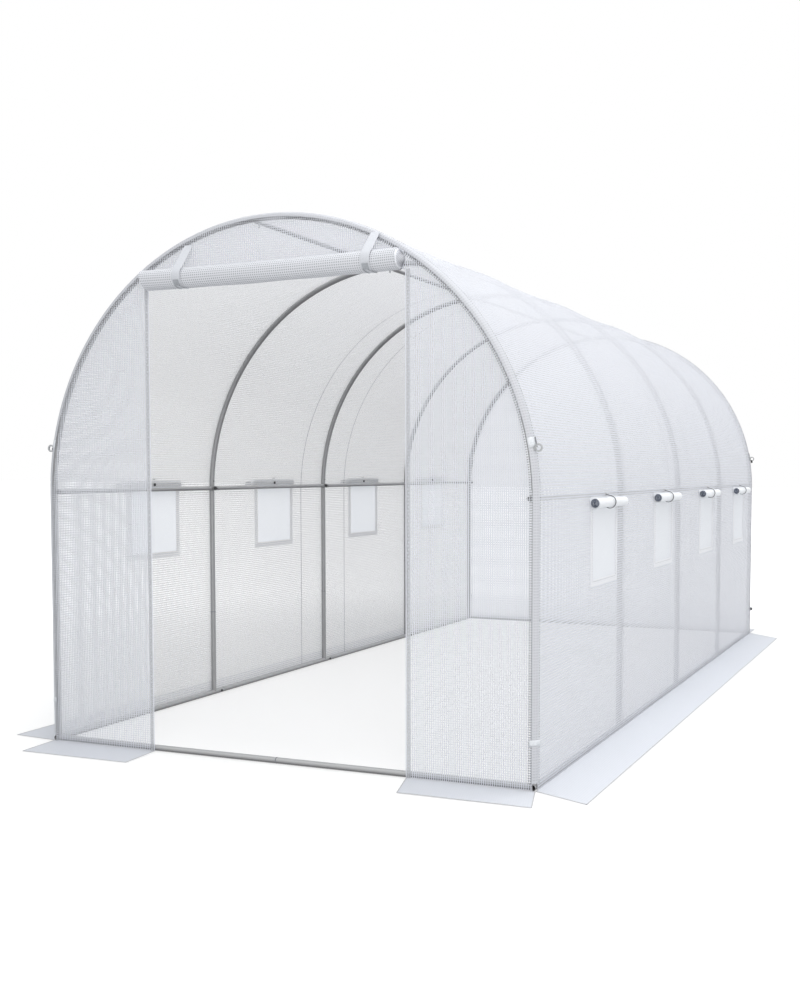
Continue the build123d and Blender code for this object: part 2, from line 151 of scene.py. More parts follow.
HOOPS = ("front_hoop", "second_hoop", "middle_hoop", "fourth_hoop", "back_hoop")
SIDES = {"left": -1, "right": 1}


# Places read from the frame
def corners(node):
    return [Vector(v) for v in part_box(node)]


def middle(node):
    low, high = corners(node)
    return (low + high) / 2


def solids(node):
    """Box of each solid of a node, front to back."""
    mesh = bmesh.new()
    mesh.from_mesh(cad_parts[node].data)
    bmesh.ops.remove_doubles(mesh, verts=mesh.verts, dist=1e-5)
    left = set(mesh.verts)
    boxes = []
    while left:
        stack = [left.pop()]
        island = list(stack)
        while stack:
            for edge in stack.pop().link_edges:
                for vert in edge.verts:
                    if vert in left:
                        left.remove(vert)
                        stack.append(vert)
                        island.append(vert)
        places = [v.co for v in island]
        low = Vector([min(p[i] for p in places) for i in range(3)])
        high = Vector([max(p[i] for p in places) for i in range(3)])
        boxes.append((low, high))
    mesh.free()
    return sorted(boxes, key=lambda box: (round(box[0].y, 4), box[0].x))


hoop_ys = [middle(name).y for name in HOOPS]
front_y, back_y = hoop_ys[0], hoop_ys[-1]
bay = hoop_ys[1] - hoop_ys[0]
cover_r = corners("right_wall_cover")[1].x
crown_z = corners("back_panel")[1].z
spring_z = crown_z - cover_r
front_face = corners("front_gable")[0].y
back_face = corners("back_panel")[1].y
corner_r = front_y - front_face
rim_r = cover_r - corner_r
foot_z = corners("left_wall_cover")[0].z
tube_d = corners("front_sill")[1].z - corners("front_sill")[0].z
hoop_inside = corners("front_hoop")[1].x - tube_d
arch_length = 2 * spring_z + pi * cover_r
windows = {
    side: list(zip(*(solids(side + "_window_" + word) for word in ("borders", "nets", "rolls"))))
    for side in SIDES
}


# Materials
def new_material(name):
    material = bpy.data.materials.new(name)
    material.use_nodes = True
    nodes = material.node_tree.nodes
    nodes.clear()
    out = nodes.new("ShaderNodeOutputMaterial")
    return material, nodes, material.node_tree.links, out


def math_node(nodes, links, operation, a, b=None):
    node = nodes.new("ShaderNodeMath")
    node.operation = operation
    for socket, value in zip(node.inputs, (a, b)):
        if value is None:
            continue
        if hasattr(value, "is_output"):
            links.new(value, socket)
        else:
            socket.default_value = value
    return node.outputs[0]


def span_node(nodes, links, value, low, high, smooth=None):
    """Value from 0 to 1 spread over low to high, or smooth=(from, to) turned into a soft step."""
    node = nodes.new("ShaderNodeMapRange")
    links.new(value, node.inputs["Value"])
    if smooth:
        node.interpolation_type = "SMOOTHSTEP"
        node.inputs["From Min"].default_value, node.inputs["From Max"].default_value = smooth
    node.inputs["To Min"].default_value = low
    node.inputs["To Max"].default_value = high
    return node.outputs[0]


def cloud_node(nodes, links, scale, detail):
    place = nodes.new("ShaderNodeTexCoord")
    cloud = nodes.new("ShaderNodeTexNoise")
    cloud.inputs["Scale"].default_value = scale
    cloud.inputs["Detail"].default_value = detail
    links.new(place.outputs["Object"], cloud.inputs["Vector"])
    return cloud.outputs["Fac"]


def mix_shader(nodes, links, share, a, b):
    node = nodes.new("ShaderNodeMixShader")
    if hasattr(share, "is_output"):
        links.new(share, node.inputs[0])
    else:
        node.inputs[0].default_value = share
    links.new(a, node.inputs[1])
    links.new(b, node.inputs[2])
    return node.outputs[0]


def mix_colour(nodes, links, share, a, b):
    node = nodes.new("ShaderNodeMix")
    node.data_type = "RGBA"
    links.new(share, node.inputs[0])
    node.inputs[6].default_value = (*a, 1)
    node.inputs[7].default_value = (*b, 1)
    return node.outputs[2]


def grid_mask(nodes, links, pitches, shares):
    """1 on the threads of a grid laid out in the sheet's own metres, 0 in its cells."""
    uv = nodes.new("ShaderNodeUVMap")
    uv.uv_map = "flat"
    split = nodes.new("ShaderNodeSeparateXYZ")
    links.new(uv.outputs[0], split.inputs[0])
    masks = []
    for axis, (pitch, share) in enumerate(zip(pitches, shares)):
        phase = math_node(nodes, links, "FRACT", math_node(nodes, links, "MULTIPLY", split.outputs[axis], 1 / pitch))
        away = math_node(nodes, links, "ABSOLUTE", math_node(nodes, links, "SUBTRACT", phase, 0.5))
        masks.append(span_node(nodes, links, away, 0, 1, smooth=(share / 2 + 0.05, share / 2 - 0.05)))
    return math_node(nodes, links, "MAXIMUM", *masks)


def film_material(name, thread, cell, alphas=None, through=0.3, pitches=SCRIM_PITCHES, shares=THREAD_SHARES):
    """Reinforced film: threads in a sheet that also passes light. alphas are how solid cells and threads are."""
    material, nodes, links, out = new_material(name)
    mask = grid_mask(nodes, links, pitches, shares)
    cloud = cloud_node(nodes, links, 2.2, 3)
    bump = nodes.new("ShaderNodeBump")
    bump.inputs["Strength"].default_value = 0.25
    bump.inputs["Distance"].default_value = 0.0006
    links.new(mask, bump.inputs["Height"])
    colour = mix_colour(nodes, links, mask, cell, thread)
    shell = nodes.new("ShaderNodeBsdfPrincipled")
    shell.inputs["Specular IOR Level"].default_value = 0.25
    links.new(colour, shell.inputs["Base Color"])
    links.new(span_node(nodes, links, cloud, FILM_ROUGH * 0.8, FILM_ROUGH * 1.2), shell.inputs["Roughness"])
    links.new(bump.outputs[0], shell.inputs["Normal"])
    glow = nodes.new("ShaderNodeBsdfTranslucent")
    links.new(colour, glow.inputs["Color"])
    body = mix_shader(nodes, links, through, shell.outputs[0], glow.outputs[0])
    if alphas:
        solid = span_node(nodes, links, mask, *alphas)
        cover = math_node(nodes, links, "ADD", solid, span_node(nodes, links, cloud, -0.03, 0.03))
        clear = nodes.new("ShaderNodeBsdfTransparent")
        body = mix_shader(nodes, links, cover, clear.outputs[0], body)
    links.new(body, out.inputs[0])
    return material


def solid_material(name, colour, rough, metallic=0.0, grain=40, depth=0.0002, spread=0.12):
    """Principled surface with a fine grain in colour, roughness and height."""
    material, nodes, links, out = new_material(name)
    cloud = cloud_node(nodes, links, grain, 5)
    dark = [c * (1 - spread) for c in colour]
    light = [min(1, c * (1 + spread)) for c in colour]
    step = span_node(nodes, links, cloud, 0, 1, smooth=(0.3, 0.7))
    bump = nodes.new("ShaderNodeBump")
    bump.inputs["Strength"].default_value = 0.2
    bump.inputs["Distance"].default_value = depth
    links.new(cloud, bump.inputs["Height"])
    shell = nodes.new("ShaderNodeBsdfPrincipled")
    shell.inputs["Metallic"].default_value = metallic
    links.new(mix_colour(nodes, links, step, dark, light), shell.inputs["Base Color"])
    links.new(span_node(nodes, links, cloud, rough * 0.85, min(1, rough * 1.15)), shell.inputs["Roughness"])
    links.new(bump.outputs[0], shell.inputs["Normal"])
    links.new(shell.outputs[0], out.inputs[0])
    return material


def zinc_painted_shade_material(name, below, above, rough, metallic):
    """Zinc coat with painted shade: darker on the undersides and lighter where it faces up, by the way the surface
    faces, with a fine spangle.
    """
    material, nodes, links, out = new_material(name)
    spangle = cloud_node(nodes, links, 300, 5)
    facing = nodes.new("ShaderNodeNewGeometry")
    split = nodes.new("ShaderNodeSeparateXYZ")
    links.new(facing.outputs["Normal"], split.inputs[0])
    # painted shade: the colour runs from dark undersides to light tops by which way the surface faces
    up = span_node(nodes, links, split.outputs["Z"], 0, 1, smooth=(-0.75, 0.75))
    share = math_node(nodes, links, "ADD", up, span_node(nodes, links, spangle, -0.12, 0.12))
    shell = nodes.new("ShaderNodeBsdfPrincipled")
    shell.inputs["Metallic"].default_value = metallic
    links.new(mix_colour(nodes, links, share, below, above), shell.inputs["Base Color"])
    links.new(span_node(nodes, links, spangle, rough * 0.85, rough * 1.15), shell.inputs["Roughness"])
    links.new(shell.outputs[0], out.inputs[0])
    return material


PALE = (0.755, 0.77, 0.825)
# lighter, warmer tone for the film's inner face: painted light shining through from outside
INSIDE_LIT_TONE = (0.89, 0.885, 0.865)
SHADED = (0.755, 0.77, 0.82)
film = film_material("cover_scrim", PALE, PALE, alphas=(0.06, 1.0), through=0.38)
end_film = film_material(
    "end_scrim", SHADED, SHADED, alphas=(0.03, 1.0), through=0.40, pitches=END_PITCHES, shares=END_SHARES
)
inside_film_painted_light = film_material("cover_scrim_inside_painted_light", INSIDE_LIT_TONE, INSIDE_LIT_TONE, alphas=(0.06, 1.0), through=0.50)
# Hem: the doubled band is more solid than the film, and its darker grey is painted shade of the band round the end
# hoop
hem_film_painted_shade = film_material("hem_scrim_painted_shade", (0.71, 0.72, 0.755), (0.68, 0.69, 0.73), alphas=(0.88, 1.0), through=0.25)
flap_film = film_material("flap_scrim", (0.70, 0.72, 0.76), (0.67, 0.69, 0.74), through=0.05)
# Rolled window film: the cells' grey is painted shade of the turns beneath the clear film
roll_film_shaded_cells = film_material("rolled_scrim_painted_shade", (0.93, 0.94, 0.96), (0.84, 0.86, 0.89), through=0.15)
# Door roll: a darker copy of the rolled film, painted shade; its dark cells are painted shade of the turns beneath the
# clear film
door_film_painted_shade = film_material(
    "rolled_door_scrim_painted_shade", (0.74, 0.75, 0.785), (0.40, 0.41, 0.44), through=0.10,
    pitches=(0.0085, 0.0085), shares=(0.45, 0.45),
)
net_mesh = film_material(
    "window_net", (0.89, 0.91, 0.94), (0.87, 0.89, 0.93), alphas=(0.84, 1.0), through=0.45,
    pitches=(0.0022, 0.0022), shares=(0.5, 0.5),
)
border_film = film_material("window_border", (0.94, 0.945, 0.96), (0.90, 0.91, 0.93), alphas=(0.94, 1.0), through=0.40)
tape_film = film_material(
    "zip_tape", (0.62, 0.63, 0.65), (0.60, 0.61, 0.63), alphas=(0.35, 0.70), through=0.30, pitches=(0.002, 0.002)
)
# Tubes: painted shade, darker where they face down and lighter where they face up
steel_painted_shade = zinc_painted_shade_material("galvanised_steel_painted_shade", (0.16, 0.16, 0.165), (0.50, 0.505, 0.51), 0.34, 0.6)
zinc = solid_material("zinc_plate", (0.40, 0.41, 0.42), 0.35, metallic=0.7, grain=160)
black_plastic = solid_material("black_plastic", (0.025, 0.025, 0.027), 0.45, grain=300)
rubber = solid_material("black_elastic", (0.035, 0.037, 0.042), 0.65, grain=400, depth=0.0004)
clip_plastic = solid_material("clip_plastic", (0.66, 0.68, 0.71), 0.35, grain=220)
hem_thread = solid_material("hem_thread", (0.30, 0.305, 0.32), 0.8, grain=900)
thread_grey = solid_material("stitch_thread", (0.22, 0.225, 0.24), 0.8, grain=900)
zip_tooth = solid_material("zip_teeth", (0.46, 0.47, 0.50), 0.45, grain=300)
webbing = solid_material("strap_web", (0.58, 0.595, 0.63), 0.75, grain=600, depth=0.0004)
buckle_grey = solid_material("strap_buckle", (0.33, 0.345, 0.37), 0.5, grain=200)
end_grey = solid_material("roll_end", (0.80, 0.81, 0.84), 0.7, grain=200)
# dark blue-grey for the window rolls' ends: painted shade of the rolled film's hollow end
roll_end_shade_grey = solid_material("painted_roll_end_shade", (0.085, 0.10, 0.135), 0.55, grain=120, spread=0.3)
# Grey for the cover seams and tie tabs; on the flaps' free edges it is painted shade of the edge
grey_and_edge_shade = solid_material("cut_edge", (0.50, 0.50, 0.51), 0.8, grain=200)


# Mesh helpers
def add_piece(name, mesh, material, smooth=True):
    mesh.normal_update()
    data = bpy.data.meshes.new(name)
    mesh.to_mesh(data)
    mesh.free()
    piece = bpy.data.objects.new(name, data)
    bpy.context.scene.collection.objects.link(piece)
    data.materials.append(material)
    if smooth:
        for polygon in data.polygons:
            polygon.use_smooth = True
    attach(piece, "root")
    return piece


def blank():
    mesh = bmesh.new()
    mesh.loops.layers.uv.new("flat")
    return mesh


def grid_sheet(us, vs, place, flat=None, keep=None):
    """Sheet over two lists of parameters. place(u, v) is a point, flat(u, v) its place on the cut cloth."""
    mesh = blank()
    uv = mesh.loops.layers.uv.active
    flat = flat or (lambda u, v: (u, v))
    verts = [[mesh.verts.new(place(u, v)) for v in vs] for u in us]
    for i in range(len(us) - 1):
        for j in range(len(vs) - 1):
            if keep and not keep((us[i] + us[i + 1]) / 2, (vs[j] + vs[j + 1]) / 2):
                continue
            ring = ((i, j), (i + 1, j), (i + 1, j + 1), (i, j + 1))
            face = mesh.faces.new([verts[a][b] for a, b in ring])
            for loop, (a, b) in zip(face.loops, ring):
                loop[uv].uv = flat(us[a], vs[b])
    bmesh.ops.delete(mesh, geom=[v for v in mesh.verts if not v.link_faces], context="VERTS")
    return mesh


def path_sheet(us, path, place, thickness=0.0):
    """Sheet that follows a path of section points; place(u, point) puts it."""
    lengths = [0.0]
    for a, b in zip(path, path[1:]):
        lengths.append(lengths[-1] + (Vector(b) - Vector(a)).length)
    count = list(range(len(path)))
    mesh = grid_sheet(us, count, lambda u, i: place(u, path[i]), flat=lambda u, i: (u, lengths[i]))
    if thickness:
        bmesh.ops.solidify(mesh, geom=mesh.faces[:], thickness=thickness)
    return mesh


def stations(low, high, step, marks=()):
    """Values from low to high about a step apart, with every mark among them."""
    fixed = sorted({round(m, 5) for m in (low, high, *marks) if low - 1e-6 <= m <= high + 1e-6})
    values = [fixed[0]]
    for a, b in zip(fixed, fixed[1:]):
        count = max(1, round((b - a) / step))
        values += [a + (b - a) * i / count for i in range(1, count + 1)]
    return values


def join(meshes):
    """One mesh from several, UVs kept."""
    whole = blank()
    for mesh in meshes:
        data = bpy.data.meshes.new("part")
        mesh.to_mesh(data)
        whole.from_mesh(data)
        bpy.data.meshes.remove(data)
        mesh.free()
    return whole


def lathe(profile, segments=20):
    """Turned shape about local Z from (radius, height) pairs."""
    mesh = blank()
    rings = []
    for radius, height in profile:
        turns = [tau * i / segments for i in range(segments if radius > 1e-6 else 1)]
        rings.append([mesh.verts.new((radius * cos(turn), radius * sin(turn), height)) for turn in turns])
    for low, high in zip(rings, rings[1:]):
        for i in range(segments):
            after = (i + 1) % segments
            ring = (low[i % len(low)], low[after % len(low)], high[after % len(high)], high[i % len(high)])
            mesh.faces.new(list(dict.fromkeys(ring)))
    return mesh


def placed(mesh, place, direction):
    turn = Vector(direction).to_track_quat("Z", "Y").to_matrix().to_4x4()
    mesh.transform(Matrix.Translation(place) @ turn)
    return mesh


def block(size, bevel):
    """Block with rounded edges, its base centred on the origin."""
    mesh = blank()
    bmesh.ops.create_cube(mesh, size=1)
    mesh.transform(Matrix.Diagonal((*size, 1)) @ Matrix.Translation((0, 0, 0.5)))
    bmesh.ops.bevel(mesh, geom=mesh.edges[:], offset=bevel, segments=2, affect="EDGES")
    return mesh


def bolt(head, tall, shank):
    """Hexagon head on a washer, with a threaded end standing out of it by shank."""
    core = head * 0.55
    pitch = 0.0015
    thread = []
    for i in range(int(shank / pitch)):
        thread += [(core, tall + i * pitch), (core * 0.82, tall + (i + 0.5) * pitch)]
    return join([
        lathe([(0, 0), (head * 1.5, 0), (head * 1.5, 0.001), (head * 1.4, 0.0013), (0, 0.0013)], 24),
        lathe([(head * 0.95, 0.0013), (head, 0.002), (head, tall * 0.85), (head * 0.88, tall), (0, tall)], 6),
        lathe([(core, tall * 0.9), *thread, (core * 0.7, tall + shank), (0, tall + shank)], 12),
    ])


def wing_knob():
    """Black hand nut with two wings."""
    wings = []
    for turn in (0, pi):
        wing = block(WING, 0.0012)
        spread = Matrix.Rotation(turn, 4, "Z") @ Matrix.Translation(WING_PLACE)
        wing.transform(spread @ Matrix.Rotation(WING_LEAN, 4, "Y"))
        wings.append(wing)
    return join([lathe(HUB), *wings])


def stitches(points, size=STITCH):
    """Short raised stitches; points are (place, along, outward)."""
    length, width, tall = size
    mesh = blank()
    for place, along, out in points:
        across = along.cross(out)
        ring = [(-1, -1), (1, -1), (1, 1), (-1, 1)]
        base = [mesh.verts.new(place + along * a * length / 2 + across * b * width / 2) for a, b in ring]
        top = [
            mesh.verts.new(place + along * a * length * 0.4 + across * b * width * 0.35 + out * tall)
            for a, b in ring
        ]
        mesh.faces.new(top)
        for i in range(4):
            mesh.faces.new((base[i], base[(i + 1) % 4], top[(i + 1) % 4], top[i]))
    return mesh


# The cover's surface: s runs over the arch from the left foot to the right foot
def arch_frame(s):
    """Point on the arch and its outward direction."""
    if s <= spring_z:
        return Vector((-cover_r, 0, s)), Vector((-1, 0, 0))
    if s >= arch_length - spring_z:
        return Vector((cover_r, 0, arch_length - s)), Vector((1, 0, 0))
    angle = pi - (s - spring_z) / cover_r
    out = Vector((cos(angle), 0, sin(angle)))
    return Vector((0, 0, spring_z)) + out * cover_r, out


def height_to_s(sign, z):
    """Length along the arch from the left foot to the height z on a side."""
    s = z
    if z > spring_z:
        rise = z - spring_z
        s = spring_z + cover_r * atan2(rise, (cover_r ** 2 - rise ** 2) ** 0.5)
    return s if sign < 0 else arch_length - s


def slack(s, y):
    """How far the film lies inside the hoops' line: it sags between hoops on the arch."""
    if y <= front_y or y >= back_y:
        return 0.0
    share = ((y - front_y) / bay) % 1
    curve = max(0.0, arch_frame(s)[1].z) ** 0.5
    ripple = noise.noise(Vector((s * 2.1, y * 3.4, 0.7))) * FILM_RIPPLE
    return 4 * share * (1 - share) * (FILM_SAG * curve + 0.001 + ripple)


def tunnel_point(s, y, lift=0.0):
    point, out = arch_frame(s)
    point = point + out * (lift - slack(s, y))
    return Vector((point.x, y, point.z))


def window_spans(side, which):
    """For each window of a side: y and s limits of its border (0) or its net (1)."""
    spans = []
    for boxes in windows[side]:
        low, high = boxes[which]
        s_ends = sorted(height_to_s(SIDES[side], z) for z in (low.z, high.z))
        spans.append((low.y, high.y, *s_ends))
    return spans


foot_ends = (foot_z, arch_length - foot_z)
spring_ends = (spring_z, arch_length - spring_z)


# Tunnel cover: one sheet over all the hoops, with the window openings cut out
def make_tunnel_cover():
    nets = [span for side in SIDES for span in window_spans(side, 1)]
    ys = stations(front_y, back_y, SHEET_STEP, [*hoop_ys, *[y for n in nets for y in n[:2]]])
    ss = stations(*foot_ends, SHEET_STEP, [*spring_ends, *[s for n in nets for s in n[2:]]])

    def keep(s, y):
        return not any(n[0] < y < n[1] and n[2] < s < n[3] for n in nets)

    cover = add_piece("tunnel_cover", grid_sheet(ss, ys, tunnel_point, keep=keep), film)
    inner = grid_sheet(ss, ys, lambda s, y: tunnel_point(s, y, -FILM_BODY), keep=keep)
    inner = add_piece("tunnel_cover_inside", inner, inside_film_painted_light)
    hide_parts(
        "left_wall_cover", "right_wall_cover", "left_haunch_cover", "left_shoulder_cover",
        "left_crown_cover", "right_crown_cover", "right_shoulder_cover", "right_haunch_cover",
    )
    seams = []
    for shift in SEAM_SHIFTS:
        y = hoop_ys[2] + shift
        seams.append(grid_sheet(
            stations(*foot_ends, SHEET_STEP, spring_ends), [y, y + SEAM_WIDTH],
            lambda s, v: tunnel_point(s, v, -FILM_BODY - LIFT),
        ))
    seam = add_piece("cover_seams", join(seams), grey_and_edge_shade)


# End walls
def make_end_panel(name, node, y, outward):
    low, high = corners(node)
    left, right = max(low.x, -rim_r), min(high.x, rim_r)
    bottom = low.z

    def place(x, v):
        top = spring_z + max(0.0, rim_r ** 2 - x ** 2) ** 0.5
        z = bottom + (top - bottom) * v
        edge = min(1.0, (rim_r - abs(x)) / WALL_FADE, (top - z) / WALL_FADE, (z - bottom) / WALL_FADE)
        wave = noise.noise(Vector((x * 3, z * 1.6, y))) * WALL_RIPPLE * max(0.0, edge)
        return Vector((x, y + outward * wave, z))

    mesh = grid_sheet(
        stations(left, right, SHEET_STEP), stations(0, 1, 1 / WALL_STEPS), place,
        flat=lambda x, v: (x, place(x, v).z),
    )
    area = sum(face.calc_area() for face in mesh.faces)
    wall = add_piece(name, mesh, end_film)
    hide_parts(node)


# Hems: the doubled band that wraps each end hoop, on the tunnel and on the end wall
def corner_path(face, side, lift):
    """Section over an end hoop from the end wall round onto the tunnel: (below the cover, behind the wall)."""
    path = [(face, -lift)]
    for step in range(5):
        turn = pi / 2 * step / 4
        path.append((corner_r - (corner_r + lift) * sin(turn), corner_r - (corner_r + lift) * cos(turn)))
    return [*path, (-lift, side)]


def corner_place(face_y, outward):
    def place(s, point):
        at, out = arch_frame(s)
        at = at - out * point[0]
        return Vector((at.x, face_y - outward * point[1], at.z))

    return place


def make_hem(name, face_y, outward):
    ss = stations(*foot_ends, 0.04, [*spring_ends, foot_z + NOTCH, arch_length - foot_z - NOTCH])
    path = corner_path(HEM_FACE, HEM_SIDE, LIFT)
    place = corner_place(face_y, outward)
    mesh = path_sheet(ss, path, place)
    corner_faces = [
        f for f in mesh.faces
        if f.calc_center_median().z < foot_z + NOTCH
        and abs(f.calc_center_median().x) > rim_r and abs(f.calc_center_median().y) > abs(face_y) - corner_r
    ]
    bmesh.ops.delete(mesh, geom=corner_faces, context="FACES")
    hem = add_piece(name, mesh, hem_film_painted_shade)
    rows = []
    for point in (*((HEM_FACE + row, -LIFT) for row in HEM_FACE_ROWS), (-LIFT, HEM_SIDE + HEM_SIDE_ROW)):
        for s in stations(foot_z + NOTCH, arch_length - foot_z - NOTCH, HEM_STITCH_PITCH):
            out = arch_frame(s)[1]
            along = Vector((out.z, 0, -out.x))
            facing = Vector((0, outward, 0)) if point[0] > 0 else out
            rows.append((place(s, point), along, facing))
    add_piece(name + "_stitching", stitches(rows, HEM_STITCH), hem_thread, smooth=False)


make_tunnel_cover()
for word in ("left_panel", "right_panel", "gable"):
    make_end_panel("front_" + word + "_film", "front_" + word, front_face, -1)
make_end_panel("back_panel_film", "back_panel", back_face, 1)
make_hem("front_hem", front_face, -1)
make_hem("back_hem", back_face, 1)


# Rolled sheets and what ties them
def spiral(outer, drop, steps):
    """Section of a rolled sheet as (outwards, up) points, from its outer end inwards to the core."""
    inner = ROLL_CORE_SHARE * outer
    turns = drop / (pi * (outer + inner))
    count = int(turns * steps)
    points = []
    for i in range(count + 1):
        angle = pi + tau * turns * i / count
        radius = outer - (outer - inner) * i / count
        points.append((outer + radius * cos(angle), radius * sin(angle)))
    return points


def rolled(outer, drop, flap, width, place, slip, along):
    """Rolled sheet with its flap. slip(share, wound, point) shifts the turns sideways near the ends."""
    path = [(0.0, flap), (0.0, flap / 2), *spiral(outer, drop, ROLL_STEPS)]
    order = {point: i / len(path) for i, point in enumerate(path)}

    def at(x, point):
        return place(x + slip(x / (width / 2), order[point], point), *point)

    return path_sheet(stations(-width / 2, width / 2, along), path, at)


def strap_path(radius, centre, rise, wrap, steps=14):
    """From the wall at a height down over a roll and under it: (outwards, up) points."""
    lean = atan2(rise, -centre) - acos(radius / hypot(centre, rise))
    touch = (centre + radius * cos(lean), radius * sin(lean))
    path = [(0.0, rise), (touch[0] / 2, (rise + touch[1]) / 2)]
    turns = [lean - wrap * i / steps for i in range(steps + 1)]
    return path + [(centre + radius * cos(turn), radius * sin(turn)) for turn in turns]


# Windows: net, border, rolled flap and elastic tie, with painted shade on the roll ends
def make_windows(side):
    sign = SIDES[side]
    borders, nets, rolls, ties, tabs, end_shade_dishes, buttons, rows = [], [], [], [], [], [], [], []
    spans = list(zip(window_spans(side, 0), window_spans(side, 1)))
    for (border, net), boxes in zip(spans, windows[side]):
        mesh = grid_sheet(
            stations(border[2], border[3], 0.03, net[2:]), stations(border[0], border[1], 0.03, net[:2]),
            lambda s, y: tunnel_point(s, y, 2 * LIFT),
            keep=lambda s, y: not (net[0] < y < net[1] and net[2] < s < net[3]),
        )
        borders.append(mesh)
        nets.append(grid_sheet(
            stations(net[2], net[3], 0.04), stations(net[0], net[1], 0.04), lambda s, y: tunnel_point(s, y)
        ))
        for y in (net[0] - BORDER_INSET, net[1] + BORDER_INSET):
            for s in stations(net[2], net[3], STITCH_PITCH):
                out = arch_frame(s)[1]
                rows.append((tunnel_point(s, y, 2 * LIFT), Vector((out.z, 0, -out.x)), out))
        for s in (net[2] - BORDER_INSET, net[3] + BORDER_INSET):
            for y in stations(net[0], net[1], STITCH_PITCH):
                rows.append((tunnel_point(s, y, 2 * LIFT), Vector((0, 1, 0)), arch_frame(s)[1]))
        low, high = boxes[2]
        outer = WINDOW_ROLL_RADIUS
        axis_x = max(abs(low.x), abs(high.x)) - outer - 0.001
        axis_z = low.z + outer + 0.001
        lean = max(0.0, atan2(axis_z - spring_z, axis_x))
        outward, upward = Vector((sign * cos(lean), 0, sin(lean))), Vector((-sign * sin(lean), 0, cos(lean)))
        centre = Vector((sign * axis_x, (low.y + high.y) / 2, axis_z))
        width = high.y - low.y

        def place(along, out, up):
            return centre + outward * (out - outer) + upward * up + Vector((0, along, 0))

        def slip(share, wound, point):
            return WINDOW_END_SLIP * share ** 3 * wound

        rolls.append(rolled(outer, WINDOW_DROP, high.z - axis_z, width, place, slip, 0.05))
        ties.append(path_sheet(
            (-TIE_WIDTH / 2, TIE_WIDTH / 2), strap_path(outer + TIE_THICK, outer, TIE_RISE, pi * 1.15),
            lambda x, point: place(x + point[1] * TIE_SKEW, *point), thickness=TIE_THICK,
        ))
        tabs.append(path_sheet(
            (-TAB_HALF, TAB_HALF), [(0.0, TIE_RISE + 0.008), (0.0006, TIE_RISE), (0.0022, TIE_RISE - 0.004)],
            lambda x, point: place(x + TIE_RISE * TIE_SKEW, *point), thickness=TIE_THICK / 2,
        ))
        inner = tunnel_point(height_to_s(sign, axis_z + BUTTON_RISE), centre.y, -LIFT)
        buttons.append(placed(lathe(TIE_BUTTON), inner, -outward))
        core = outer * ROLL_CORE_SHARE
        # dark dish at each end of the roll: painted shade of the rolled film's hollow end
        dish = [(outer * 0.8, 0), (outer * 0.78, 0.002), (outer * 0.4, 0.0005), (core, 0.0015), (0, 0.0015)]
        for end in (-1, 1):
            end_shade_dishes.append(placed(lathe(dish, 24), place(end * (width / 2 - 0.002), outer, 0), (0, end, 0)))
    border = add_piece(side + "_borders", join(borders), border_film)
    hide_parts(side + "_window_borders")
    net = add_piece(side + "_nets", join(nets), net_mesh)
    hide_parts(side + "_window_nets")
    roll = add_piece(side + "_rolls", join(rolls), roll_film_shaded_cells)
    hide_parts(side + "_window_rolls")
    tie = add_piece(side + "_ties", join(ties), rubber)
    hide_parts(side + "_window_ties")
    add_piece(side + "_tie_buttons", join(buttons), black_plastic)
    add_piece(side + "_tie_tabs", join(tabs), grey_and_edge_shade, smooth=False)
    add_piece(side + "_painted_roll_end_shade", join(end_shade_dishes), roll_end_shade_grey)
    add_piece(side + "_border_stitching", stitches(rows), thread_grey, smooth=False)
    low, high = windows[side][0][2]


for side in SIDES:
    make_windows(side)


